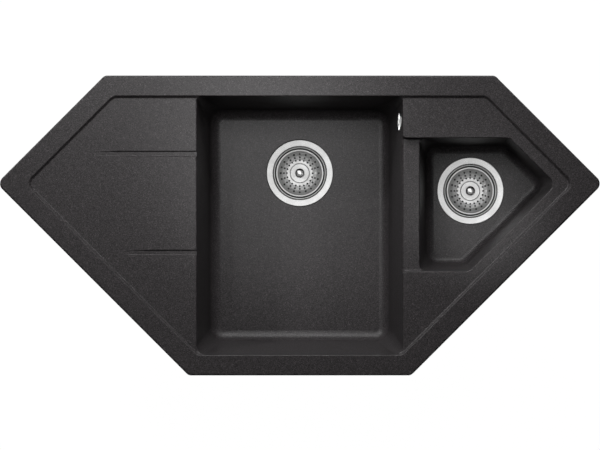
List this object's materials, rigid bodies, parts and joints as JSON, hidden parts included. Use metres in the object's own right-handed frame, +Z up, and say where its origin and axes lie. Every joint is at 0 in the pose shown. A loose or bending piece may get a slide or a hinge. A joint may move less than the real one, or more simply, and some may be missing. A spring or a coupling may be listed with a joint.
{
  "type": "corner kitchen sink",
  "caption": "Inset corner kitchen sink in dark granite composite: drainer, deep main bowl, smaller side bowl with lowered bridge, basket strainers, overflow and joined waste pipes.",
  "frame": {"origin": "centre of the outline, in the plane where the rim rests on the worktop", "axes": "+X to the right along the long side, +Y to the back edge, +Z up out of the bowls"},
  "size_m": [1, 0.5, 0.3765],
  "materials": {
    "granite_composite": "matt, fine light and dark speckle",
    "stainless_steel": "brushed",
    "polished_steel": "polished",
    "zinc_steel": "dull zinc plating",
    "brass": "turned",
    "black_rubber": "matt",
    "foam": "closed-cell foam",
    "white_plastic": "moulded, satin",
    "nut_plastic": "moulded, satin",
    "nylon": "moulded, satin",
    "hose_plastic": "soft grey"
  },
  "bodies": {
    "sink": {"sink_body": "granite_composite", "rim_seal_tape": "foam", "main_strainer_flange": "stainless_steel", "main_flange_seal": "foam", "main_body_gasket": "black_rubber", "main_waste_body": "white_plastic", "main_screw_insert": "brass", "main_centre_screw": "stainless_steel", "small_strainer_flange": "stainless_steel", "small_flange_seal": "foam", "small_body_gasket": "black_rubber", "small_waste_body": "white_plastic", "small_screw_insert": "brass", "small_centre_screw": "stainless_steel", "overflow_cover": "stainless_steel", "overflow_screw": "stainless_steel", "overflow_gasket": "black_rubber", "overflow_elbow": "white_plastic", "overflow_hose": "hose_plastic", "hose_clips": "stainless_steel", "small_outlet_elbow": "white_plastic", "cross_pipe": "white_plastic", "outlet_tee": "white_plastic", "union_nuts": "nut_plastic", "cone_washers": "nylon", "clip_inserts": "brass", "clip_screws": "zinc_steel"},
    "main_plug": {"main_plug_stem": "stainless_steel", "main_knob": "polished_steel", "main_plug_seal": "black_rubber", "main_basket_washer": "nylon"},
    "main_basket_body": {"main_basket": "stainless_steel"},
    "small_plug": {"small_plug_stem": "stainless_steel", "small_knob": "polished_steel", "small_plug_seal": "black_rubber", "small_basket_washer": "nylon"},
    "small_basket_body": {"small_basket": "stainless_steel"},
    "claw_1": {"clip_claw_1": "zinc_steel"},
    "claw_2": {"clip_claw_2": "zinc_steel"},
    "claw_3": {"clip_claw_3": "zinc_steel"},
    "claw_4": {"clip_claw_4": "zinc_steel"},
    "claw_5": {"clip_claw_5": "zinc_steel"},
    "claw_6": {"clip_claw_6": "zinc_steel"},
    "claw_7": {"clip_claw_7": "zinc_steel"},
    "claw_8": {"clip_claw_8": "zinc_steel"}
  },
  "joints": [
    {"name": "main_plug_lift", "type": "slide", "parent": "sink", "child": "main_plug", "axis": [0, 0, 1], "range_m": [0, 0.26]},
    {"name": "main_basket_spin", "type": "hinge", "parent": "main_plug", "child": "main_basket_body", "pos_m": [0, 0.088, -0.2203], "axis": [0, 0, 1], "continuous": true},
    {"name": "small_plug_lift", "type": "slide", "parent": "sink", "child": "small_plug", "axis": [0, 0, 1], "range_m": [0, 0.2]},
    {"name": "small_basket_spin", "type": "hinge", "parent": "small_plug", "child": "small_basket_body", "pos_m": [0.286, 0.058, -0.1653], "axis": [0, 0, 1], "continuous": true},
    {"name": "claw_1_swing", "type": "hinge", "parent": "sink", "child": "claw_1", "pos_m": [-0.24, 0.226, -0.0557], "axis": [0, 0, 1], "range_deg": [-90, 90]},
    {"name": "claw_2_swing", "type": "hinge", "parent": "sink", "child": "claw_2", "pos_m": [0.25, 0.226, -0.0557], "axis": [0, 0, 1], "range_deg": [-90, 90]},
    {"name": "claw_3_swing", "type": "hinge", "parent": "sink", "child": "claw_3", "pos_m": [0.39853, 0.14303, -0.0557], "axis": [0, 0, 1], "range_deg": [-90, 90]},
    {"name": "claw_4_swing", "type": "hinge", "parent": "sink", "child": "claw_4", "pos_m": [0.32853, -0.07303, -0.0557], "axis": [0, 0, 1], "range_deg": [-90, 90]},
    {"name": "claw_5_swing", "type": "hinge", "parent": "sink", "child": "claw_5", "pos_m": [0.21853, -0.18303, -0.0557], "axis": [0, 0, 1], "range_deg": [-90, 90]},
    {"name": "claw_6_swing", "type": "hinge", "parent": "sink", "child": "claw_6", "pos_m": [-0.23853, -0.16303, -0.0557], "axis": [0, 0, 1], "range_deg": [-90, 90]},
    {"name": "claw_7_swing", "type": "hinge", "parent": "sink", "child": "claw_7", "pos_m": [-0.40853, 0.00697, -0.0557], "axis": [0, 0, 1], "range_deg": [-90, 90]},
    {"name": "claw_8_swing", "type": "hinge", "parent": "sink", "child": "claw_8", "pos_m": [-0.38853, 0.15303, -0.0557], "axis": [0, 0, 1], "range_deg": [-90, 90]}
  ]
}
